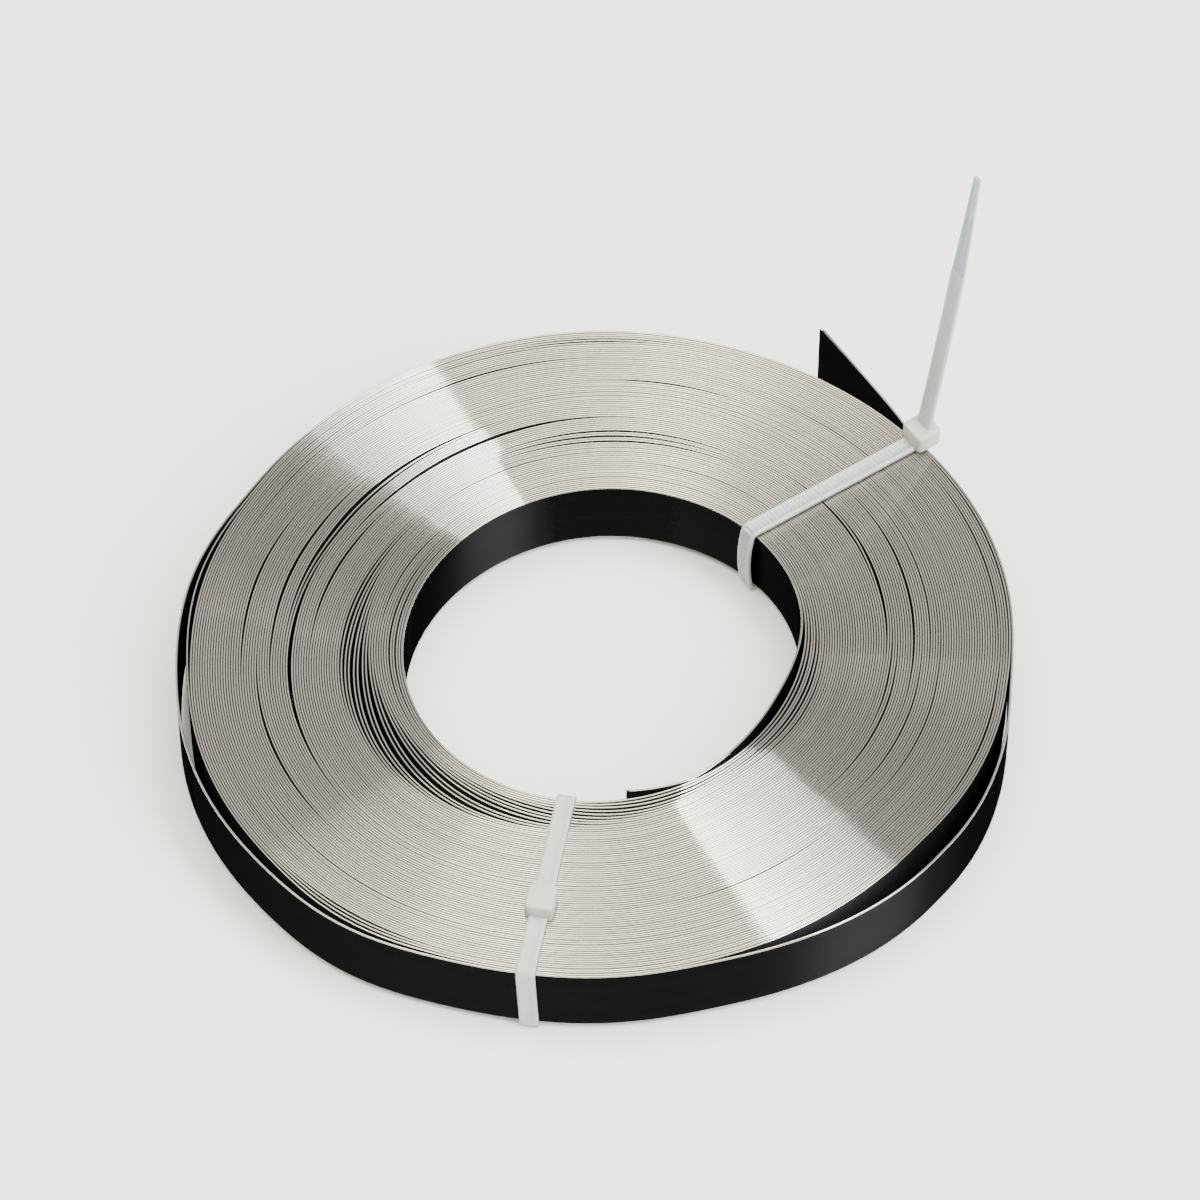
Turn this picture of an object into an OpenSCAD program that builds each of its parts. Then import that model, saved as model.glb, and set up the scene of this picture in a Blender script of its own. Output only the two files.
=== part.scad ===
// Coil of narrow steel strip, lying flat and held by two nylon cable ties.
//
// The Z axis is the winding's axis. Z = 0 is the floor, under the straps of the ties.
// Azimuths are degrees from +X, counter-clockwise seen from above, which is the way the strip is wound
// outwards.

/* [Strip] */
// Width of the strip, which is the height of the coil
strip_w = 20; // [12:0.5:40]
// Thickness of the strip
strip_t = 0.65; // [0.5:0.05:1]

/* [Winding] */
// Radius of the bore
bore_r = 50.3; // [40:0.1:70]
// Turns in the tight part of the winding
turns = 78; // [40:1:110]
// Mean air gap between neighbouring turns
turn_gap = 0.03; // [0:0.01:0.2]
// Depth and half width of the groove that parts one turn's edge from the next
edge_round = 0.12; // [0.05:0.01:0.2]
// How far the edges of the turns stagger above and below those of the outermost and innermost turn
stagger = 0.1; // [0.05:0.05:0.5]

/* [Outer turn and its end] */
// Azimuth at which the outermost turn parts from the winding
left_slack_start = 150; // [100:1:160]
// How far it stands off between there and the front tie
left_slack = 5; // [0:0.1:8]
// How far it stands off between the front tie and the rear tie
front_slack = 3.6; // [0:0.1:10]
// Azimuth at which the slack in front begins
front_slack_start = 283; // [270:1:295]
// Azimuth at which the slack in front ends
front_slack_end = 356; // [340:1:370]
// Length of the free end past the rear tie
tail_len = 41; // [20:1:70]
// Angle at which the free end leaves the winding
tail_lift = 4.5; // [2:0.5:10]
// How far the free end curls outwards over its length
tail_curl = 8; // [0:1:15]

/* [Inner end] */
// Azimuth of the cut end in the bore
inner_end = -82; // [-90:1:-70]
// Azimuth of the kink, where the innermost turn touches the next one
inner_kink = -62; // [-66:1:-50]
// Azimuth at which it lies on the next turn again
inner_rejoin = 10; // [0:1:20]
// How far it stands off behind the kink
inner_slack = 2.2; // [0:0.1:2.5]
// How far the cut end stands off
inner_flick = 1.8; // [0:0.1:2]

/* [Cable ties] */
// Width of the strap
tie_w = 4.8; // [3.6:0.1:7.6]
// Thickness of the strap
tie_t = 1.3; // [1:0.1:1.8]
// Air left between a strap and the coil
tie_gap = 0.35; // [0.35:0.05:0.6]
// Inside radius of the strap's bends
tie_bend = 1; // [0.6:0.1:1]
// Width of the head
head_w = 8; // [7:0.5:9]
// Length of the head along the strap
head_l = 7.6; // [7:0.2:9]
// Height of the head
head_h = 5.2; // [4.5:0.1:6]
// Azimuth of the front tie
front_tie_at = 260.2; // [256:0.1:262]
// Distance from the wall of the bore to the middle of the front tie's head
front_head_in = 32; // [12:0.5:34]
// Azimuth of the rear tie
rear_tie_at = 41.5; // [36:0.5:45]
// How far the rear tie's strap bows off the wall of the bore
rear_bow = 3.5; // [1:0.1:5]
// Length of the rear tie's toothed tail above its head
tail_strap_len = 52; // [20:1:80]
// Length of the smooth, narrow tip past the teeth
tip_len = 33; // [20:1:40]
// Width of that tip
tip_w = 2.6; // [2:0.1:3.5]
// Thickness of that tip
tip_t = 1; // [0.8:0.1:1.2]
// Lean of the tail from the vertical, outwards, where it leaves the head
tail_lean = 5; // [0:1:10]
// Lean of the tail at its tip
tip_lean = 18; // [12:1:30]

/* [Hidden] */

$fn = 128;
pitch = strip_t + turn_gap;          // radial room of one turn
pack_r = bore_r + turns * pitch;     // outside of the tight winding
lap = 0.15;                          // how far a lying band is sunk into its neighbour, to be one piece
turn_r = pack_r + strip_t - lap;     // outside of the outermost turn where it is held down
coil_z0 = tie_t + tie_gap;           // underside of the coil
strip_z0 = coil_z0 + stagger;        // underside of the outermost and innermost turn
coil_z1 = strip_z0 + strip_w + stagger;  // top of the coil
mid_off = tie_gap + tie_t / 2;       // from a face of the coil to the middle of a strap
bend_r = tie_bend + tie_t / 2;       // radius of a bend at the middle of the strap
arc_step = 3;                        // degrees between the points of a band around the axis
head_chamfer = 1;                    // bevel on the head's upper edges

// ---- Bands: a path given as a list of points, and the outline of a strip along it ----

function polar(r, a) = [r * cos(a), r * sin(a)];

// Left-hand normal of a path at its point i, from the neighbours of that point.
function normal_at(path, i) =
    let (d = path[min(i + 1, len(path) - 1)] - path[max(i - 1, 0)])
    [-d.y, d.x] / norm(d);

// Outline of a strip of thickness t that has the path in its middle.
function band(path, t) = concat(
    [for (i = [0 : len(path) - 1]) path[i] + normal_at(path, i) * t / 2],
    [for (i = [len(path) - 1 : -1 : 0]) path[i] - normal_at(path, i) * t / 2]
);

// Points of an arc about c, with both ends.
function arc(c, r, from, to, steps) =
    [for (i = [0 : steps]) c + polar(r, from + (to - from) * i / steps)];

// The same without its ends.
function arc_between(c, r, from, to, steps) =
    [for (i = [1 : steps - 1]) c + polar(r, from + (to - from) * i / steps)];

// Points of a curve that starts at p with a heading and turns evenly to another heading.
function curl(p, from, to, length, steps) =
    [for (i = [1 : steps])
        let (turn = (to - from) * i / steps, s = length * i / steps,
             chord = abs(turn) < 0.01 ? s : s * sin(turn / 2) / (turn / 2 * PI / 180))
        p + polar(chord, from + turn / 2)];

// A smooth swelling between two azimuths, 0 at both ends and 1 halfway.
function swell(a, from, to) = a <= from || a >= to ? 0 : pow(sin(180 * (a - from) / (to - from)), 2);

// ---- The coil of strip ----

// Section of the tight winding: each turn ends in a flat, with a groove between it and the next turn.
function groove(i, z, up) =
    let (r = bore_r + i * pitch)
    [[r - edge_round, z], [r, z - up * edge_round], [r + edge_round, z]];

function end_profile(z, up) = concat(
    [[bore_r, z]], [for (i = [1 : turns - 1]) each groove(i, z, up)], [[pack_r, z]]);

function reversed(list) = [for (i = [len(list) - 1 : -1 : 0]) list[i]];

// Middle of the outermost turn at an azimuth: on the winding where a tie holds it, and off it between.
function outer_turn_r(a) = turn_r - strip_t / 2
    + left_slack * swell(a, left_slack_start, front_tie_at + 5)
    + front_slack * swell(a, front_slack_start, front_slack_end);

tail_from = 360 + rear_tie_at + 1;   // where the free end leaves the winding
outer_path = concat(
    [for (a = [left_slack_start : arc_step : tail_from]) polar(outer_turn_r(a), a)],
    curl(polar(outer_turn_r(tail_from), tail_from), tail_from + 90 - tail_lift,
         tail_from + 90 - tail_lift - tail_curl, tail_len, 8)
);

// Middle of the innermost turn at an azimuth: it touches at the kink and stands off on both sides of it.
function inner_turn_r(a) = bore_r - strip_t / 2 + lap
    - inner_slack * swell(a, inner_kink, inner_rejoin)
    - inner_flick * max(0, (inner_kink - a) / (inner_kink - inner_end));

inner_path = [for (i = [0 : 30])
    let (a = inner_end + (inner_rejoin - inner_end) * i / 30) polar(inner_turn_r(a), a)];

module strip_coil() {
    color([0.62, 0.61, 0.59]) {
        rotate_extrude() polygon(concat(end_profile(coil_z0, -1), reversed(end_profile(coil_z1, 1))));
        translate([0, 0, strip_z0]) linear_extrude(strip_w) {
            polygon(band(outer_path, strip_t));
            polygon(band(inner_path, strip_t));
        }
    }
}

// ---- The cable ties, drawn in the plane of radius and height, then stood at their azimuth ----

in_u = bore_r - mid_off;             // middle of a strap in the bore
out_u = turn_r + mid_off;            // middle of a strap on the outside
low_z = coil_z0 - mid_off;           // middle of a strap under the coil
top_z = coil_z1 + mid_off;           // middle of a strap on the coil
bend_steps = 6;

module in_tie_plane(at, width) {
    rotate([0, 0, at]) rotate([90, 0, 0]) translate([0, 0, -width / 2]) linear_extrude(width) children();
}

// The two bends under the coil and the one at the top of the outer wall are the same on both ties.
low_inner_bend = arc([in_u + bend_r, low_z + bend_r], bend_r, 180, 270, bend_steps);
low_outer_bend = arc([out_u - bend_r, low_z + bend_r], bend_r, 270, 360, bend_steps);
top_outer_bend = arc([out_u - bend_r, top_z - bend_r], bend_r, 0, 90, bend_steps);
top_inner_bend = arc([in_u + bend_r, top_z - bend_r], bend_r, 90, 180, bend_steps);

// Head of a tie, from u0 along the radius, on a strap at height z: a block with bevelled upper edges.
module tie_head(at, u0, z) {
    base = z - tie_t / 2;
    intersection() {
        in_tie_plane(at, head_w) polygon([
            [u0, base], [u0 + head_l, base],
            [u0 + head_l, base + head_h - head_chamfer], [u0 + head_l - head_chamfer, base + head_h],
            [u0 + head_chamfer, base + head_h], [u0, base + head_h - head_chamfer]
        ]);
        rotate([0, 0, at]) rotate([90, 0, 90]) linear_extrude(u0 + head_l) polygon([
            [-head_w / 2, base], [head_w / 2, base],
            [head_w / 2, base + head_h - head_chamfer], [head_w / 2 - head_chamfer, base + head_h],
            [head_chamfer - head_w / 2, base + head_h], [-head_w / 2, base + head_h - head_chamfer]
        ]);
    }
}

front_head_u = bore_r + front_head_in - head_l / 2;

// The front tie: a closed loop around the section, with its tail cut off flush at the head.
front_loop = concat(
    [[front_head_u + head_l / 2, top_z]], top_inner_bend, low_inner_bend, low_outer_bend, top_outer_bend,
    [[front_head_u + head_l / 2 + 1, top_z]]
);

module front_cable_tie() {
    color([0.88, 0.88, 0.85]) {
        in_tie_plane(front_tie_at, tie_w) polygon(band(front_loop, tie_t));
        tie_head(front_tie_at, front_head_u, top_z);
    }
}

// The rear tie's strap bows off the wall of the bore: the two bends stop short, and one arc joins them.
bend_low_z = low_z + bend_r;         // height of the middle of the lower bends
bend_top_z = top_z - bend_r;         // height of the middle of the upper bends
bow_half = (bend_top_z - bend_low_z) / 2;
bow_reach = (bow_half * bow_half + rear_bow * rear_bow) / (2 * rear_bow);
bow_angle = asin(bow_half / bow_reach);
bow_wall = concat(
    arc([in_u + bend_r, bend_top_z], bend_r, 90, 180 - bow_angle, bend_steps),
    arc_between([in_u + bow_reach + bend_r - rear_bow, bend_low_z + bow_half], bow_reach + bend_r,
                180 - bow_angle, 180 + bow_angle, 12),
    arc([in_u + bend_r, bend_low_z], bend_r, 180 + bow_angle, 270, bend_steps)
);

// It comes up the outer wall through its head, and its tail stands above it.
rear_head_u = turn_r - 2.4;
head_top = top_z - tie_t / 2 + head_h;
rear_loop = concat(
    [[rear_head_u + 2, top_z]], bow_wall, low_outer_bend, [[out_u, head_top]]
);
teeth_end_lean = (tail_lean + tip_lean) / 2;
toothed_tail = concat(
    [[out_u, head_top - 1], [out_u, head_top]],
    curl([out_u, head_top], 90 - tail_lean, 90 - teeth_end_lean, tail_strap_len, 8)
);
tip_root = toothed_tail[len(toothed_tail) - 1];
tip_path = concat(
    [tip_root - polar(1, 90 - teeth_end_lean), tip_root],
    curl(tip_root, 90 - teeth_end_lean, 90 - tip_lean, tip_len, 6)
);

module rear_cable_tie() {
    color([0.88, 0.88, 0.85]) {
        in_tie_plane(rear_tie_at, tie_w) {
            polygon(band(rear_loop, tie_t));
            polygon(band(toothed_tail, tie_t));
        }
        in_tie_plane(rear_tie_at, tip_w) polygon(band(tip_path, tip_t));
        tie_head(rear_tie_at, rear_head_u, top_z);
    }
}

strip_coil();
front_cable_tie();
rear_cable_tie();
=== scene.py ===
# A coil of narrow steel strip with bright slit edges and dark rolled faces, lying flat and held by two
# nylon cable ties. Lengths in this file are in millimetres and azimuths in degrees from +X, counter-clockwise
# seen from above, which is the way the strip is wound outwards. The scene itself is in metres.
import math
import bpy
import numpy as np
from mathutils import Matrix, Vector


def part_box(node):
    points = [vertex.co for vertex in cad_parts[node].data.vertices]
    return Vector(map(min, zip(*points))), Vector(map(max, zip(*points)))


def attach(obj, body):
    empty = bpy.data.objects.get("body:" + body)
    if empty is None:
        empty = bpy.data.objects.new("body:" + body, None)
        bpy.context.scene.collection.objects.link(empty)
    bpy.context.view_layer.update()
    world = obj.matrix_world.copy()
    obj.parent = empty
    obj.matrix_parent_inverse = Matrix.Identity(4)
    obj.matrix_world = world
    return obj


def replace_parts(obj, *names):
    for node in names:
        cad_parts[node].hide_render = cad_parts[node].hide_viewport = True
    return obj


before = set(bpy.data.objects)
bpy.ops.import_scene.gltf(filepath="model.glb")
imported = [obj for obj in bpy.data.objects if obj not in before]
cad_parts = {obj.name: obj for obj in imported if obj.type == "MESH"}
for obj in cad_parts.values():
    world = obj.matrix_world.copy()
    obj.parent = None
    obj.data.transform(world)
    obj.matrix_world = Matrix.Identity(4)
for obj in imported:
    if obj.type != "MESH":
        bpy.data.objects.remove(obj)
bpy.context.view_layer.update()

# ---- Camera ----
# A long lens from the front, a little over 50 degrees above the table, with the coil slightly low in view.
camera = bpy.data.objects.new("camera", bpy.data.cameras.new("camera"))
camera.data.sensor_width = 36
camera.data.lens = 186.3
camera.data.clip_start = 0.1
camera.data.clip_end = 20
camera.location = (0.0015, -0.9736, 1.2605)
camera.rotation_euler = (math.radians(90 - 51.455), 0, math.radians(0.086))
bpy.context.collection.objects.link(camera)
bpy.context.scene.camera = camera

# ---- Floor and surroundings ----
# A plain pale table that runs out past the view, under a soft grey-white room.


def linear(hex_colour):
    """Linear colour of an sRGB hex value: each channel goes through the sRGB curve, backwards."""
    c = np.array([int(hex_colour[i:i + 2], 16) for i in (1, 3, 5)]) / 255
    c = np.where(c <= 0.04045, c / 12.92, ((c + 0.055) / 1.055) ** 2.4)
    return (*map(float, c), 1.0)


def add_node(material, kind, links=(), **settings):
    """Adds one node to a material. A setting names an input socket or a property of the node. A link is
    (input socket, source node, source output)."""
    node = material.node_tree.nodes.new(kind)
    for name, value in settings.items():
        spaced = name.replace("_", " ")
        socket = next((s for s in node.inputs if s.name == spaced or s.identifier == spaced), None)
        if socket is not None:
            socket.default_value = value
        else:
            setattr(node, name, value)
    for socket, source, output in links:
        target = node.inputs[socket]
        material.node_tree.links.new(source.outputs[output], target)
    return node


def new_material(name):
    """A node material with no nodes in it yet."""
    material = bpy.data.materials.new(name)
    material.use_nodes = True
    material.node_tree.nodes.clear()
    return material


def grid_mesh(name, points, closed_across):
    """Mesh of a grid of points, rows x columns x 3 in millimetres. Row i, column j joins to row i+1 and
    column j+1; with closed_across the last column joins to the first, and both end rows are closed by a flat
    cap. The grid's rows run along the piece and its columns around it, clockwise seen along the rows."""
    rows, cols = points.shape[:2]
    index = np.arange(rows * cols).reshape(rows, cols)
    right = np.roll(index, -1, axis=1) if closed_across else index[:, 1:]
    left = index if closed_across else index[:, :-1]
    quads = np.stack([left[:-1], right[:-1], right[1:], left[1:]], axis=-1).reshape(-1, 4)
    loops = quads.reshape(-1)
    starts = np.arange(len(quads)) * 4
    if closed_across:
        loops = np.concatenate([loops, index[0, ::-1], index[-1]])
        starts = np.concatenate([starts, [len(quads) * 4, len(quads) * 4 + cols]])
    mesh = bpy.data.meshes.new(name)
    mesh.vertices.add(rows * cols)
    mesh.vertices.foreach_set("co", (points / 1000).astype(np.float32).reshape(-1))
    mesh.loops.add(len(loops))
    mesh.loops.foreach_set("vertex_index", loops.astype(np.int32))
    mesh.polygons.add(len(starts))
    mesh.polygons.foreach_set("loop_start", starts.astype(np.int32))
    flags = np.ones(len(starts), dtype=bool)
    if closed_across:
        flags[-2:] = False
    mesh.polygons.foreach_set("use_smooth", flags)
    mesh.update(calc_edges=True)
    mesh.validate()
    return mesh


def add_object(mesh, *materials):
    """An object at the origin with that mesh and those materials."""
    for material in materials:
        mesh.materials.append(material)
    piece = bpy.data.objects.new(mesh.name, mesh)
    bpy.context.collection.objects.link(piece)
    return piece


# Matt white table top: painted board, which gives an even pale ground with soft shadows.
table_paint = new_material("white_table_paint")
table_shader = add_node(table_paint, "ShaderNodeBsdfPrincipled", Base_Color=linear("#f8f8f7"),
                        Roughness=0.9, Specular_IOR_Level=0.2)
add_node(table_paint, "ShaderNodeOutputMaterial", [("Surface", table_shader, "BSDF")])

side = np.linspace(-12000, 12000, 3)
across, along = np.meshgrid(side, side, indexing="xy")
floor_points = np.stack([across, along, np.zeros_like(across)], axis=-1)
floor = add_object(grid_mesh("floor", floor_points, False), table_paint)

# The room: nearly dark up to 25 degrees above the horizon, and evenly light from 50 degrees.
room = bpy.data.worlds.new("studio_room")
room.use_nodes = True
backdrop = room.node_tree.nodes["Background"]
where = add_node(room, "ShaderNodeTexCoord")
up = add_node(room, "ShaderNodeSeparateXYZ", [("Vector", where, "Generated")])
ceiling = add_node(room, "ShaderNodeMapRange", [("Value", up, "Z")], interpolation_type="SMOOTHSTEP",
                   From_Min=0.42, From_Max=0.76, To_Min=0.06, To_Max=1.85)
backdrop.inputs["Color"].default_value = linear("#fbfaf7")
room.node_tree.links.new(ceiling.outputs["Result"], backdrop.inputs["Strength"])
bpy.context.scene.world = room

# ---- Lights ----
# A large warm soft box overhead, a small brighter one behind it, and a tall white panel and a grey screen to
# the right, all 6 m from the coil. The round of the strip mirrors each of them in a pair of sectors.

LIGHT_DISTANCE = 6        # metres
MIRROR_LEAN = 0.617       # +Y part of the direction in which a level face mirrors the camera


def add_softbox(name, towards, long_side, length, width, watts, colour):
    """A rectangular soft box in one direction from the coil, facing it. Its long side lies along the part of
    `long_side` that is square to that direction."""
    light = bpy.data.lights.new(name, "AREA")
    light.shape = "RECTANGLE"
    light.size = length
    light.size_y = width
    light.energy = watts
    light.color = linear(colour)[:3]
    towards = np.array(towards) / np.linalg.norm(towards)
    along = np.array(long_side) - towards * np.dot(long_side, towards)
    along /= np.linalg.norm(along)
    turned = np.eye(4)
    turned[:3, :3] = np.stack([along, np.cross(towards, along), towards], axis=-1)
    turned[:3, 3] = LIGHT_DISTANCE * towards
    holder = bpy.data.objects.new(name, light)
    holder.matrix_world = Matrix(turned.tolist())
    bpy.context.collection.objects.link(holder)


add_softbox("warm_softbox", (-0.1194, -0.0477, 0.9917), (0.366, -0.93, 0), 5.3, 5.04, 525, "#fff6de")
add_softbox("key_softbox", (-0.0726, 0.326, 0.9426), (0.24, 0.97, 0), 1.6, 0.8, 36, "#fff8e6")

# Lit white cloth and grey cloth: even surfaces that only glow, by a strength that each panel's mesh carries.
panel_glow = new_material("lit_panel_cloth")
glow = add_node(panel_glow, "ShaderNodeAttribute", attribute_name="glow")
glow_shader = add_node(panel_glow, "ShaderNodeEmission", [("Strength", glow, "Fac")], Color=linear("#fffefd"))
add_node(panel_glow, "ShaderNodeOutputMaterial", [("Surface", glow_shader, "Emission")])


def add_panel(name, azimuths, nearest, furthest, strengths):
    """A panel that covers the part of the room which edges at these azimuths mirror towards the front, with
    one glow strength for each azimuth. Seen from above, its directions are (s cos a, MIRROR_LEAN + s sin a),
    with s from `nearest` to `furthest`."""
    reach = np.linspace(0, 1, 15)
    s = nearest[:, None] + (furthest - nearest[:, None]) * reach
    x = s * np.cos(np.radians(azimuths))[:, None]
    y = MIRROR_LEAN + s * np.sin(np.radians(azimuths))[:, None]
    points = 1000 * LIGHT_DISTANCE * np.stack([x, y, np.sqrt(1 - x * x - y * y)], axis=-1)
    panel = add_object(grid_mesh(name, points, False), panel_glow)
    glows = np.repeat(strengths, len(reach)).astype(np.float32)
    panel.data.attributes.new("glow", "FLOAT", "POINT").data.foreach_set("value", glows)


# The white panel is lit from its left edge, and its glow falls to a quarter towards the right. Beside it
# stands a dull grey screen, which fades into the room.
u = np.linspace(0, 1, 12)
add_panel("white_panel", 295.6 + 21 * u, 0.16 + 0.14 * np.clip(1 - 3 * u, 0, 1), 1.4, 25 * 0.24 ** u)
add_panel("grey_screen", 318 + 36 * u, np.full(12, 0.1), 0.72, 0.8 + 1.05 * u ** 2)

# ---- The coil of strip ----
# One length of cold-rolled spring steel strip, slit to 20 mm and wound hand-tight, 79 turns. The turns lie
# on each other with hair-thin gaps; here and there a turn stands off the next one in a long thin crescent.
# The cut end in the bore and the free end outside spring away from the winding.

STRIP_T = 0.65
STRIP_W = 20.0
START_AT = 278.0          # azimuth of the cut end in the bore
TURNS = 79                # whole turns before the last part of a turn
STEP = 2.0                # degrees between sections of the strip
LEAVES_AT = 41.0          # azimuth where the free end leaves the winding
TAIL_LENGTH = 44.0        # of the free end, from there on

# Every turn stands within about 0.1 mm of the middle of the coil's height.
coil_low, coil_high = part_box("strip_coil")
STRIP_LOW = 1000 * (coil_low[2] + coil_high[2]) / 2 - STRIP_W / 2


def swell(x, start, end):
    """sin squared from start to end: 0 at both and 1 halfway, 0 outside."""
    u = np.clip((x - start) / (end - start), 0, 1)
    return np.sin(np.pi * u) ** 2


def drift(x, seed, scale, count=24):
    """Smooth unevenness along x: the sum of `count` sine waves with periods around `scale` and random
    phases, over the root of their number, so it stays mostly within -1 to 1."""
    random = np.random.default_rng(seed)
    rates = 2 * np.pi / (scale * random.uniform(0.5, 2.2, count))
    waves = np.sin(x[..., None] * rates + random.uniform(0, 2 * np.pi, count))
    return waves.sum(axis=-1) / math.sqrt(count)


last_angle = 360 * TURNS + LEAVES_AT + 360 - START_AT
wound = np.arange(0, last_angle + STEP / 2, STEP)         # degrees wound since the cut end
per_turn = int(360 / STEP)
turn = np.floor(wound / 360).astype(int)
since = wound - 360 * turn                                # degrees since the azimuth of the cut end
azimuth = (wound + START_AT) % 360

# Loose places: (turn, azimuth where it starts, length in degrees, width of the gap outside that turn).
CRESCENTS = [
    (0, 254, 60, 0.32), (1, 250, 70, 0.42), (2, 244, 70, 0.48), (3, 238, 68, 0.46),
    (1, 304, 72, 0.3), (2, 302, 78, 0.34), (4, 298, 80, 0.34), (5, 302, 72, 0.32), (7, 300, 64, 0.24),
    (2, 128, 92, 0.22), (4, 126, 92, 0.24), (8, 124, 56, 0.2), (13, 40, 50, 0.12), (18, 90, 50, 0.14),
    (23, 50, 72, 0.42), (25, 56, 66, 0.4), (27, 52, 70, 0.42), (30, 10, 46, 0.4), (31, 354, 46, 0.5),
    (31, 136, 48, 0.45), (33, 334, 32, 0.24), (34, 76, 84, 0.8), (35, 314, 52, 0.26), (38, 148, 72, 0.75),
    (39, 112, 70, 0.45), (40, 100, 84, 0.85), (41, 338, 68, 0.38), (44, 314, 50, 0.22),
    (45, 132, 62, 0.5), (47, 346, 50, 0.15), (48, 276, 44, 0.3), (50, 180, 46, 0.42), (51, 314, 56, 0.15),
    (53, 64, 30, 0.3), (56, 146, 44, 0.42), (59, 20, 50, 0.12), (61, 200, 60, 0.12), (65, 80, 62, 0.46),
    (67, 92, 50, 0.1), (68, 120, 50, 0.12), (70, 104, 60, 0.13), (72, 84, 46, 0.11), (73, 75, 34, 0.3),
    (73, 96, 58, 0.13), (73, 356, 44, 0.24), (74, 71, 38, 0.24), (74, 220, 30, 0.3), (74, 320, 42, 0.3),
    (75, 88, 52, 0.1), (75, 216, 36, 0.35), (76, 148, 44, 0.9), (76, 214, 40, 0.35), (77, 140, 122, 2.5),
    (77, 352, 56, 0.2), (78, 280, 80, 5.5),
]
gap = np.zeros_like(wound)
for at_turn, start, length, width in CRESCENTS:
    begins = 360 * at_turn + (start - START_AT) % 360
    gap += width * swell(wound, begins, begins + length)

# The fan: sixteen neighbouring turns each stand off for about a fifth of a turn, each a little later than
# the one outside it. At turn 17 that ends 302 degrees after the azimuth of the cut end.
FAN_FIRST = 4             # the innermost of those turns
FAN_LENGTH = 78           # degrees
FAN_DELAY = 6.1           # degrees from one turn to the next
FAN = [0.42, 0.46, 0.34, 0.5, 0.9, 0.42, 1.05, 0.5, 0.95, 0.4, 0.75, 0.34, 0.62, 0.3, 0.42, 0.3]
for at_turn, width in enumerate(FAN, FAN_FIRST):
    ends = 360 * at_turn + 302 + FAN_DELAY * (17 - at_turn)
    gap += width * swell(wound, ends - FAN_LENGTH, ends)

# The rest of the slack in the winding is shared unevenly by all turns: what is left at each azimuth of the
# whole slack there, once the loose places of the first 74 turns have taken theirs, or 0.05 mm if less is
# left.
slack_at = np.array([0, 15, 30, 60, 100, 137, 187, 217, 245, 270, 285, 300, 318, 337, 350])
slack_of = np.array([2.2, 1.6, 1.3, 1.7, 2.7, 3.3, 3.0, 3.7, 2.7, 1.9, 1.8, 1.66, 1.15, 0.9, 1.7])
section_of = np.round(since / STEP).astype(int) % per_turn
outer_gap = wound >= 360 * 74
taken = np.zeros(per_turn)
np.add.at(taken, section_of, np.where(outer_gap, 0, gap))
taken = np.convolve(np.tile(taken, 3), np.ones(9) / 9, "same")[per_turn:2 * per_turn]
circle = (np.arange(per_turn) * STEP + START_AT) % 360
slack = np.interp(circle, slack_at, slack_of, period=360)
slack = np.convolve(np.tile(slack, 3), np.ones(11) / 11, "same")[per_turn:2 * per_turn]
share = np.maximum(slack - taken, 0.05) / TURNS
uneven = np.clip(1 + 0.95 * drift(wound, 5, 140), 0.05, 3)
gap += share[section_of] * uneven

# Inner face of every section: the bore, which is slightly oval, bulges towards the rear tie and grows by
# one pitch in the first turn, then the strips and the gaps inside it at that azimuth.
BORE_R = 49.87
BORE_OVAL = 1.34          # added to the radius at 45 and 225 degrees, taken off half-way between
BORE_SHIFT = 0.56         # of the bore's middle, towards 10 degrees
BORE_BULGE = 1.2          # greatest at 25 degrees, gone 50 degrees away
bore = (BORE_R + BORE_OVAL * np.cos(np.radians(2 * (azimuth - 45)))
        + BORE_SHIFT * np.cos(np.radians(azimuth - 10)) + BORE_BULGE * swell((azimuth + 25) % 360, 0, 100)
        + (STRIP_T + gap[0]) * since / 360)
radius = np.zeros_like(wound)
for at_turn in range(TURNS + 1):
    here = slice(at_turn * per_turn, min((at_turn + 1) * per_turn, len(wound)))
    count = len(wound[here])
    if at_turn == 0:
        radius[here] = bore[here]
    else:
        before = slice((at_turn - 1) * per_turn, (at_turn - 1) * per_turn + count)
        radius[here] = radius[before] + STRIP_T + gap[before]

# The cut end in the bore stands off, touches at the kink and stands off again in an arch, steep at the
# kink, before it lies on the next turn.
kink = 19.5
lies_again = 97
arch = swell(wound, kink, lies_again)
arch = np.where(wound < (kink + lies_again) / 2, np.sqrt(arch), arch)
radius -= 2.1 * arch + 2.0 * np.clip((kink - wound) / kink, 0, 1)

# Middle of the strip, and its free end. It springs out past the rear tie within a few millimetres, runs off
# straight at its heading, and curls by 75 degrees in a small hook at its cut.
TAIL_HEADING = 122.6
middle = radius + STRIP_T / 2
path = np.stack([middle * np.cos(np.radians(azimuth)), middle * np.sin(np.radians(azimuth))], axis=-1)
leaving = math.degrees(math.atan2(path[-1, 1] - path[-2, 1], path[-1, 0] - path[-2, 0]))
steps = 60
run = (np.arange(steps) + 0.5) / steps
along_tail = run * TAIL_LENGTH
heading = (TAIL_HEADING + (leaving - TAIL_HEADING) * np.exp(-along_tail / 1.2) - 14 * np.exp(-along_tail / 5)
           + 75 * np.clip((run - 0.965) / 0.035, 0, 1))
heading = np.radians(heading)
tail_steps = np.stack([np.cos(heading), np.sin(heading)], axis=-1) * TAIL_LENGTH / steps
tail = path[-1] + np.cumsum(tail_steps, axis=0)
path = np.concatenate([path, tail])
length_along = np.concatenate([[0], np.cumsum(np.linalg.norm(np.diff(path, axis=0), axis=1))])

# Degrees wound, carried on along the free end by as many as its length would take on the rim.
RIM_STEP = 1.84           # mm of strip in a degree of the rim
wound_all = np.concatenate([wound, wound[-1] + np.arange(1, steps + 1) * TAIL_LENGTH / steps / RIM_STEP])

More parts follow.
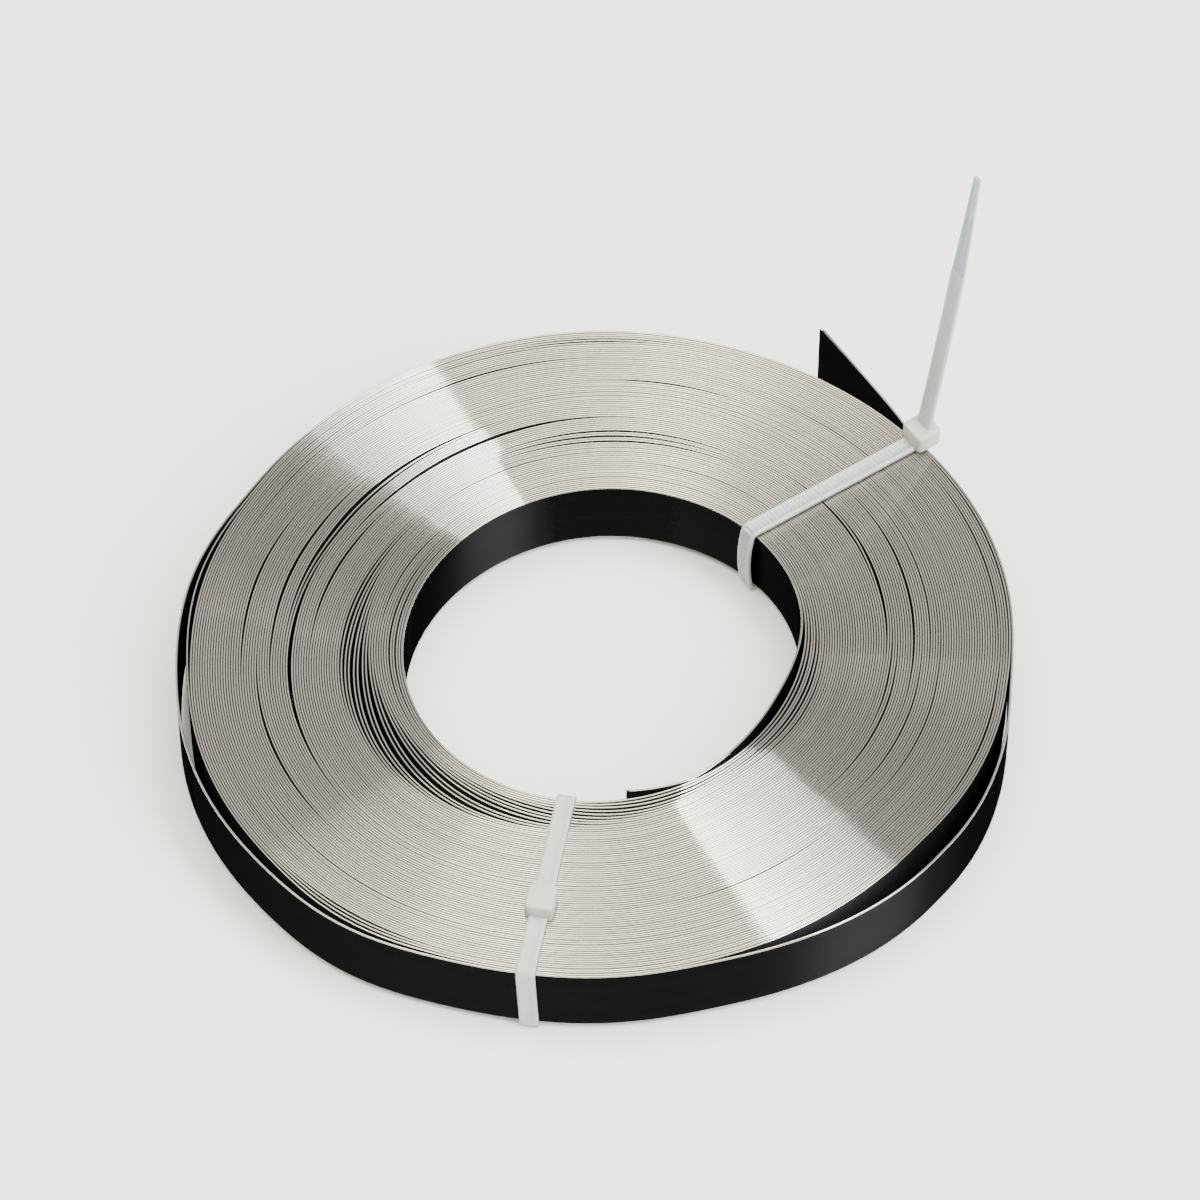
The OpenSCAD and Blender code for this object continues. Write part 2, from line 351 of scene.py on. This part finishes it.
# Section of the strip: crowned slit edges with rounded corners above and below, and flat rolled faces.
# The crown falls by 0.05 x^2 + 0.26 x^5 mm, with x from 0 at its middle to 1 at the faces. Columns go from
# the inner top corner over the top to the outer side, down, under and back up.
half = STRIP_T / 2
crown = np.array([-1, -0.82, -0.5, 0, 0.5, 0.82, 1]) * half
crown_drop = 0.05 * (np.abs(crown) / half) ** 2 + 0.26 * (np.abs(crown) / half) ** 5
side_drop = 0.5
across_of = np.concatenate([crown, [half, half], crown[::-1], [-half, -half]])
height_of = np.concatenate([STRIP_W - crown_drop, [STRIP_W - side_drop, side_drop],
                            crown_drop[::-1], [side_drop, STRIP_W - side_drop]])

towards = np.gradient(path, axis=0)
towards /= np.linalg.norm(towards, axis=1, keepdims=True)
outward = np.stack([towards[:, 1], -towards[:, 0]], axis=-1)
stagger = STRIP_LOW + 0.05 * drift(wound_all, 11, 420) + 0.04 * drift(wound_all, 12, 2600)
sections = np.empty((len(path), len(across_of), 3))
sections[..., :2] = path[:, None] + outward[:, None] * across_of[None, :, None]
sections[..., 2] = stagger[:, None] + height_of[None]

# Distance round the section, for the pattern that runs across the strip.
ring = np.stack([across_of, height_of], axis=-1)
round_section = np.concatenate([[0], np.cumsum(np.linalg.norm(np.roll(ring, -1, axis=0) - ring, axis=1))])

# Slit edge of spring steel: sheared and lightly dressed along the strip, so it is bright, and the edge takes
# the light a little differently every hundred millimetres or so. The fine marks of the dressing and the crown
# of the edge spread the light across the strip and not along it, which gives the fans of light and shade.
slit_edge = new_material("slit_spring_steel_edge")
uv = add_node(slit_edge, "ShaderNodeUVMap", uv_map="strip")
split = add_node(slit_edge, "ShaderNodeMapping", [("Vector", uv, "UV")], Scale=(9, 0, 0))
tone = add_node(slit_edge, "ShaderNodeTexNoise", [("Vector", split, "Vector")], Scale=1.0, Detail=3.0)
# Sockets 6 and 7 of a colour mix are its two colours, and output 2 is the mixed colour.
tone_colour = add_node(slit_edge, "ShaderNodeMix", [("Factor", tone, "Fac")], data_type="RGBA")
tone_colour.inputs[6].default_value = linear("#9b978f")
tone_colour.inputs[7].default_value = linear("#c1beb7")
tone_rough = add_node(slit_edge, "ShaderNodeMapRange", [("Value", tone, "Fac")],
                      To_Min=0.155, To_Max=0.11)
edge_grain = add_node(slit_edge, "ShaderNodeTangent", direction_type="UV_MAP", uv_map="strip")
edge_shader = add_node(slit_edge, "ShaderNodeBsdfPrincipled",
                       [("Tangent", edge_grain, "Tangent")],
                       Metallic=1.0, Anisotropic=1.0, Anisotropic_Rotation=0.25)
slit_edge.node_tree.links.new(tone_colour.outputs[2], edge_shader.inputs["Base Color"])
slit_edge.node_tree.links.new(tone_rough.outputs["Result"], edge_shader.inputs["Roughness"])
add_node(slit_edge, "ShaderNodeOutputMaterial", [("Surface", edge_shader, "BSDF")])

# Rolled face of hardened and tempered strip: a smooth, near-black blued skin with faint rolling streaks
# about a millimetre wide and some centimetres long.
rolled_face = new_material("blued_rolled_steel")
uv = add_node(rolled_face, "ShaderNodeUVMap", uv_map="strip")
streak_vector = add_node(rolled_face, "ShaderNodeMapping", [("Vector", uv, "UV")], Scale=(14, 900, 0))
streak = add_node(rolled_face, "ShaderNodeTexNoise", [("Vector", streak_vector, "Vector")],
                  Scale=1.0, Detail=4.0)
streak_colour = add_node(rolled_face, "ShaderNodeMix", [("Factor", streak, "Fac")], data_type="RGBA")
streak_colour.inputs[6].default_value = linear("#121213")
streak_colour.inputs[7].default_value = linear("#1c1c1d")
streak_rough = add_node(rolled_face, "ShaderNodeMapRange", [("Value", streak, "Fac")],
                        To_Min=0.58, To_Max=0.5)
face_grain = add_node(rolled_face, "ShaderNodeTangent", direction_type="UV_MAP", uv_map="strip")
face_shader = add_node(rolled_face, "ShaderNodeBsdfPrincipled", [("Tangent", face_grain, "Tangent")],
                       Metallic=1.0, Anisotropic=1.0, Anisotropic_Rotation=0.25,
                       Specular_Tint=linear("#000000"))
rolled_face.node_tree.links.new(streak_colour.outputs[2], face_shader.inputs["Base Color"])
rolled_face.node_tree.links.new(streak_rough.outputs["Result"], face_shader.inputs["Roughness"])
add_node(rolled_face, "ShaderNodeOutputMaterial", [("Surface", face_shader, "BSDF")])


def add_strip(name, first, last):
    """The strip from section `first` to section `last`. Its UV map holds metres along the strip and metres
    round the section; the crowned edges take the first material and the flat faces the second."""
    points = sections[first:last + 1]
    rows, cols = points.shape[:2]
    mesh = grid_mesh(name, points, True)
    u = length_along[first:last + 1] / 1000
    v = round_section / 1000
    corner_u = np.stack([u[:-1], u[:-1], u[1:], u[1:]], axis=-1)[:, None]
    corner_v = np.stack([v[:-1], v[1:], v[1:], v[:-1]], axis=-1)[None]
    quads = np.stack(np.broadcast_arrays(corner_u, corner_v), axis=-1).reshape(-1, 2)
    caps = np.concatenate([np.stack([np.full(cols, u[0]), v[:-1][::-1]], axis=-1),
                           np.stack([np.full(cols, u[-1]), v[:-1]], axis=-1)])
    layer = mesh.uv_layers.new(name="strip")
    layer.data.foreach_set("uv", np.concatenate([quads, caps]).astype(np.float32).reshape(-1))
    is_face = np.ones(cols, dtype=np.int32)
    is_face[:len(crown) - 1] = 0
    is_face[len(crown) + 2:2 * len(crown) + 1] = 0
    slots = np.concatenate([np.tile(is_face, rows - 1), [1, 1]]).astype(np.int32)
    mesh.polygons.foreach_set("material_index", slots)
    piece = add_object(mesh, slit_edge, rolled_face)
    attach(piece, "root")
    return piece


# One strip, made in four lengths that meet under the front tie.
under_tie = int((260 - START_AT) % 360 / STEP)
cuts = [0] + [under_tie + per_turn * (19 + 20 * i) for i in range(3)] + [len(path) - 1]
for i in range(4):
    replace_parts(add_strip(f"strip_turns_{i + 1}", cuts[i], cuts[i + 1]), "strip_coil")

# ---- The two cable ties ----
# Each is one injection moulding in natural, milky nylon 6/6: a strap with a ladder of teeth between two
# rails, pulled round the section of the coil and locked in its square head. The front one is trimmed off at
# its head.

TIE_W = 4.7
TIE_T = 1.15
TOOTH_PITCH = 1.25
STRAP_BEND = 1.65         # radius of a bend at the middle of the strap
STRAP_AIR = 0.12          # between the upright runs of a strap and the faces of the coil
STRAP_LOW = TIE_T / 2     # middle of the run under the coil, which lies on the table
STRAP_TOP = STRIP_LOW + STRIP_W + 0.275 + TIE_T / 2     # middle of the run over the coil, 0.275 mm clear

# Natural nylon 6/6, moulded: milky white, lets a little light through, satin gloss, faint cloudiness.
nylon = new_material("moulded_natural_nylon")
place = add_node(nylon, "ShaderNodeTexCoord")
cloud = add_node(nylon, "ShaderNodeTexNoise", [("Vector", place, "Object")], Scale=260.0, Detail=3.0)
cloud_colour = add_node(nylon, "ShaderNodeMix", [("Factor", cloud, "Fac")], data_type="RGBA")
cloud_colour.inputs[6].default_value = linear("#cdd0d3")
cloud_colour.inputs[7].default_value = linear("#dcdfe1")
skin = add_node(nylon, "ShaderNodeTexNoise", [("Vector", place, "Object")], Scale=1500.0, Detail=2.0)
skin_bump = add_node(nylon, "ShaderNodeBump", [("Height", skin, "Fac")], Strength=0.15, Distance=0.00005)
nylon_shader = add_node(nylon, "ShaderNodeBsdfPrincipled", [("Normal", skin_bump, "Normal")],
                        Roughness=0.4, IOR=1.53, Transmission_Weight=0.35, Subsurface_Weight=0.15,
                        Subsurface_Scale=0.0005, Subsurface_Radius=(2.0, 2.1, 2.0))
nylon.node_tree.links.new(cloud_colour.outputs[2], nylon_shader.inputs["Base Color"])
add_node(nylon, "ShaderNodeOutputMaterial", [("Surface", nylon_shader, "BSDF")])

# The same nylon where it is thick: more opaque, with a creamy cast.
thick_nylon = nylon.copy()
thick_nylon.name = "thick_natural_nylon"
for node in thick_nylon.node_tree.nodes:
    if node.bl_idname == "ShaderNodeMix":
        node.inputs[6].default_value = linear("#d6d6cf")
        node.inputs[7].default_value = linear("#e3e3dc")

# The same nylon where it is thin, at the smooth tip and between the teeth: nearly clear, with a cool cast.
# Between the teeth its darker tone is also painted shade in the recesses.
thin_nylon_and_recess_shade = new_material("thin_clear_nylon_and_painted_recess_shade")
place = add_node(thin_nylon_and_recess_shade, "ShaderNodeTexCoord")
cloud = add_node(thin_nylon_and_recess_shade, "ShaderNodeTexNoise", [("Vector", place, "Object")], Scale=180.0, Detail=2.0)
cloud_colour = add_node(thin_nylon_and_recess_shade, "ShaderNodeMix", [("Factor", cloud, "Fac")], data_type="RGBA")
cloud_colour.inputs[6].default_value = linear("#a9c0c8")
cloud_colour.inputs[7].default_value = linear("#c6d8dd")
thin_shader = add_node(thin_nylon_and_recess_shade, "ShaderNodeBsdfPrincipled", Roughness=0.25, IOR=1.53,
                       Transmission_Weight=0.35, Subsurface_Weight=0.2, Subsurface_Scale=0.001)
thin_nylon_and_recess_shade.node_tree.links.new(cloud_colour.outputs[2], thin_shader.inputs["Base Color"])
add_node(thin_nylon_and_recess_shade, "ShaderNodeOutputMaterial", [("Surface", thin_shader, "BSDF")])


def arc(middle, radius, start, end, steps=12):
    """Points of an arc about `middle` from one angle to another, both ends included."""
    a = np.radians(np.linspace(start, end, steps))
    return np.stack([middle[0] + radius * np.cos(a), middle[1] + radius * np.sin(a)], axis=-1)


def in_plane(foot, azimuth, reach, height, sideways):
    """Points of an upright plane: `reach` from the foot point along the azimuth, `height` above the table and
    `sideways` to the left of the azimuth."""
    a = math.radians(azimuth)
    return np.stack([foot[0] + reach * math.cos(a) - sideways * math.sin(a),
                     foot[1] + reach * math.sin(a) + sideways * math.cos(a),
                     height + 0 * sideways], axis=-1)


def add_strap(name, foot, azimuth, path, tip_length, tip_w, tip_t, toothed_outside, *materials):
    """A strap carried along a path of (reach, height, sideways) points. Its section has two rails with a sunk
    ladder of teeth between them on one face and a shallow channel on the other. The ladder stops short of the
    tip, where the strap is thinner and its width falls evenly to that of its end. The second material is for
    the tip and, where the teeth face outwards, for the gaps between them, where its darker tone is painted
    shade."""
    s = np.concatenate([[0], np.cumsum(np.linalg.norm(np.diff(path[:, :2], axis=0), axis=1))])
    at = np.arange(0, s[-1], TOOTH_PITCH / 5)
    taper_from = at[-1] - tip_length
    u, z, askew = (np.interp(at, s, path[:, i]) for i in range(3))
    du, dz = np.gradient(u), np.gradient(z)
    norm = np.hypot(du, dz)
    out_u, out_z = dz / norm, -du / norm

    # Each tooth takes five rows: it rises over four of them and drops at the fifth.
    tooth_row = np.arange(len(at)) % 5
    tooth = np.array([0, 0.35, 0.7, 1.0, 0.1])[tooth_row]
    ladder = (at <= taper_from).astype(float)
    taper = np.clip((at - taper_from) / max(tip_length, 1), 0, 1)
    root_w = 0.95 * TIE_W
    width = np.where(ladder > 0, TIE_W, root_w + (tip_w - root_w) * taper)
    thick = np.where(ladder > 0, TIE_T, tip_t)

    # Columns of the section, as parts of its width and thickness: nine outside, and eight back inside.
    y = np.array([-0.5, -0.47, -0.3, -0.27, 0, 0.27, 0.3, 0.47, 0.5,
                  0.5, 0.47, 0.3, 0.27, -0.27, -0.3, -0.47, -0.5])
    high = np.array([0.38, 0.5, 0.5, 0.5, 0.5, 0.5, 0.5, 0.5, 0.38,
                     -0.38, -0.5, -0.5, -0.5, -0.5, -0.5, -0.5, -0.38])
    between_rails = np.abs(y) < 0.28
    toothed = between_rails & (high > 0)
    channel = between_rails & (high < 0)
    if not toothed_outside:
        toothed, channel = channel, toothed
    sunk = (0.45 - 0.42 * tooth)[:, None] * toothed * ladder[:, None] + 0.06 * channel
    off = high * thick[:, None] - np.sign(high) * sunk
    points = in_plane(foot, azimuth, u[:, None] + out_u[:, None] * off, z[:, None] + out_z[:, None] * off,
                      askew[:, None] + y * width[:, None])
    mesh = grid_mesh(name, points, True)
    # The gaps between outward teeth take the second material: thinner nylon, darkened as painted shade in the
    # recesses.
    painted_shade_gap_row = (tooth_row[:-1] > 2) & toothed_outside
    tip_and_painted_shade_rows = (at[:-1] > taper_from)[:, None] | (painted_shade_gap_row[:, None] & toothed)
    mesh.polygons.foreach_set("material_index", np.concatenate([tip_and_painted_shade_rows.reshape(-1), [0, 1]]).astype(np.int32))
    return add_object(mesh, *materials)


def add_head(name, foot, azimuth, reach, low, length, width, height, material):
    """The head: a square block with rounded corners, whose outline is |x/a|^6 + |y/b|^6 = 1, narrowed a
    little towards its base and rounded over at its top."""
    a = np.radians(np.arange(0, 360, 7.5))
    power = 2 / 6
    x = np.sign(np.cos(a)) * np.abs(np.cos(a)) ** power * length / 2
    y = np.sign(np.sin(a)) * np.abs(np.sin(a)) ** power * width / 2
    rise = np.array([0, 0.1, 0.5, 0.8, 0.9, 0.96, 0.99, 1.0])
    size = np.array([0.95, 0.99, 1.0, 0.99, 0.97, 0.93, 0.88, 0.8])
    points = in_plane(foot, azimuth, reach + size[:, None] * x, low + rise[:, None] * height + 0 * x,
                      size[:, None] * y)
    return add_object(grid_mesh(name, points, True), material)


def faces_in_plane(foot, azimuth):
    """How far along the plane's azimuth the wall of the bore and the outside of the coil lie under a strap:
    the least and the greatest reach of the strip's sections within half a strap's width of the plane."""
    a = math.radians(azimuth)
    apart = path - np.array(foot)
    reach = apart[:, 0] * math.cos(a) + apart[:, 1] * math.sin(a)
    sideways = apart[:, 1] * math.cos(a) - apart[:, 0] * math.sin(a)
    near = (np.abs(sideways) < TIE_W / 2) & (reach > 0)
    return reach[near].min() - STRIP_T / 2, reach[near].max() + STRIP_T / 2


# The front tie lies square across the coil, teeth inwards, with its head on top near the outside.
FRONT_AT = 259.7
FRONT_FOOT = (0.77, -0.13)
FRONT_HEAD = 84.4         # reach of the middle of the head
bore_wall, outside = faces_in_plane(FRONT_FOOT, FRONT_AT)
inner_u = bore_wall - STRAP_AIR - TIE_T / 2
outer_u = outside + STRAP_AIR + TIE_T / 2
front_path = np.concatenate([
    [[FRONT_HEAD, STRAP_TOP]],
    arc((inner_u + STRAP_BEND, STRAP_TOP - STRAP_BEND), STRAP_BEND, 90, 180),
    arc((inner_u + STRAP_BEND, STRAP_LOW + STRAP_BEND), STRAP_BEND, 180, 270),
    arc((outer_u - STRAP_BEND, STRAP_LOW + STRAP_BEND), STRAP_BEND, 270, 360),
    arc((outer_u - STRAP_BEND, STRAP_TOP - STRAP_BEND), STRAP_BEND, 0, 90),
    [[FRONT_HEAD, STRAP_TOP]]])
# Down the outside it drifts sideways by 0.9 mm, and back again up the wall of the bore.
lean = 0.9 * np.clip((STRAP_TOP - front_path[:, 1]) / (STRAP_TOP - STRAP_LOW), 0, 1)
front_path = np.column_stack([front_path, lean])
front_strap = add_strap("front_tie_strap", FRONT_FOOT, FRONT_AT, front_path, 0, TIE_W, TIE_T, False,
                        nylon, thin_nylon_and_recess_shade)
front_head = add_head("front_tie_head", FRONT_FOOT, FRONT_AT, FRONT_HEAD, 21.95, 8.0, 7.4, 4.9, thick_nylon)

# The rear tie crosses the coil slightly askew. Its strap bows off the wall of the bore, its teeth face
# outwards, and its long tail stands up out of the head, with the ladder ending in a smooth, thin, narrowing
# tip. Its plane goes through one point on the wall of the bore, and its foot is 51.9 mm back from there.
REAR_AT = 34.6
REAR_FOOT = np.array([38.2, 35.5]) - 51.9 * np.array([math.cos(math.radians(REAR_AT)),
                                                      math.sin(math.radians(REAR_AT))])
REAR_BOW = 0.9            # depth of the bow
REAR_TIP = 33             # length of the tip
bore_wall, outside = faces_in_plane(REAR_FOOT, REAR_AT)
inner_u = bore_wall - STRAP_AIR - TIE_T / 2
outer_u = outside + STRAP_AIR + TIE_T / 2
low_mid = STRAP_LOW + STRAP_BEND
top_mid = STRAP_TOP - STRAP_BEND
half_rise = (top_mid - low_mid) / 2
bow_radius = (half_rise ** 2 + REAR_BOW ** 2) / (2 * REAR_BOW)
bow_angle = math.degrees(math.asin(half_rise / bow_radius))
# The tail leans outwards by about a sixth of its rise, and a little less towards its tip.
tail_rise = np.linspace(0, 90.5, 40)
rear_path = np.concatenate([
    [[outer_u - 2.5, STRAP_TOP]],
    arc((inner_u + STRAP_BEND, top_mid), STRAP_BEND, 90, 180 - bow_angle),
    arc((inner_u + bow_radius + STRAP_BEND - REAR_BOW, low_mid + half_rise), bow_radius + STRAP_BEND,
        180 - bow_angle, 180 + bow_angle, 30),
    arc((inner_u + STRAP_BEND, low_mid), STRAP_BEND, 180 + bow_angle, 270),
    arc((outer_u - STRAP_BEND, STRAP_LOW + STRAP_BEND), STRAP_BEND, 270, 360),
    np.stack([outer_u + 0.165 * tail_rise - 0.00027 * tail_rise ** 2, 24 + tail_rise], axis=-1)])
rear_path = np.column_stack([rear_path, np.zeros(len(rear_path))])
rear_strap = add_strap("rear_tie_strap", REAR_FOOT, REAR_AT, rear_path, REAR_TIP, 1.9, 1.0, True,
                       nylon, thin_nylon_and_recess_shade)
rear_head = add_head("rear_tie_head", REAR_FOOT, REAR_AT, 107.0, 22.1, 7.6, 8.0, 5.5, thick_nylon)

for piece in (front_strap, front_head, rear_strap, rear_head):
    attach(piece, "root")
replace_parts(front_strap, "front_cable_tie")
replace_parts(front_head, "front_cable_tie")
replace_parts(rear_strap, "rear_cable_tie")
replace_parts(rear_head, "rear_cable_tie")
